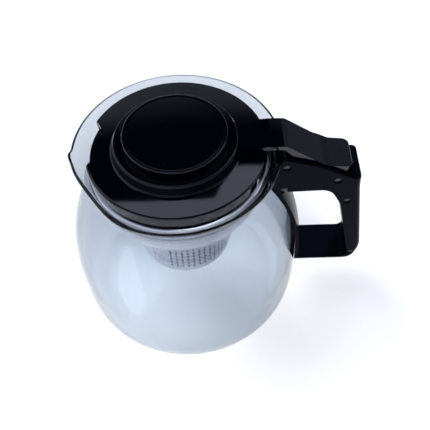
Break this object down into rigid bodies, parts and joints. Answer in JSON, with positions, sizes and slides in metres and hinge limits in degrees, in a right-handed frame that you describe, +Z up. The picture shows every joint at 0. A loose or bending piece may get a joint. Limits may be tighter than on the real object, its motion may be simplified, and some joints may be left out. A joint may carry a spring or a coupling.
{
  "type": "glass teapot with infuser",
  "caption": "Clear glass teapot with a steel leaf infuser, a black knobbed lid whose arm reaches over the rim, and a clamped handle.",
  "frame": {"origin": "centre of the flat glass base, on the surface that the teapot stands on", "axes": "+Z up through the lid's knob, +X towards the handle, the spout towards -X"},
  "size_m": [0.1837, 0.1426, 0.144],
  "materials": {
    "glass": "polished",
    "steel": "satin",
    "lid_plastic": "gloss",
    "handle_plastic": "satin gloss",
    "screw_steel": "satin",
    "silicone": "matte"
  },
  "bodies": {
    "pot": {"glass_body": "glass", "handle_near_shell": "handle_plastic", "handle_far_shell": "handle_plastic", "handle_screws": "screw_steel", "lug_sleeve": "silicone"},
    "infuser": {"infuser_funnel": "steel", "infuser_sieve": "steel", "infuser_base": "steel"},
    "lid": {"lid_top": "lid_plastic", "lid_underplate": "lid_plastic", "lid_screws": "screw_steel", "lid_knob": "lid_plastic", "knob_screw": "screw_steel"}
  },
  "joints": [
    {"name": "infuser_lift", "type": "slide", "parent": "pot", "child": "infuser", "axis": [0, 0, 1], "range_m": [0, 0.1]},
    {"name": "lid_lift", "type": "slide", "parent": "infuser", "child": "lid", "axis": [0, 0, 1], "range_m": [0, 0.06]}
  ]
}
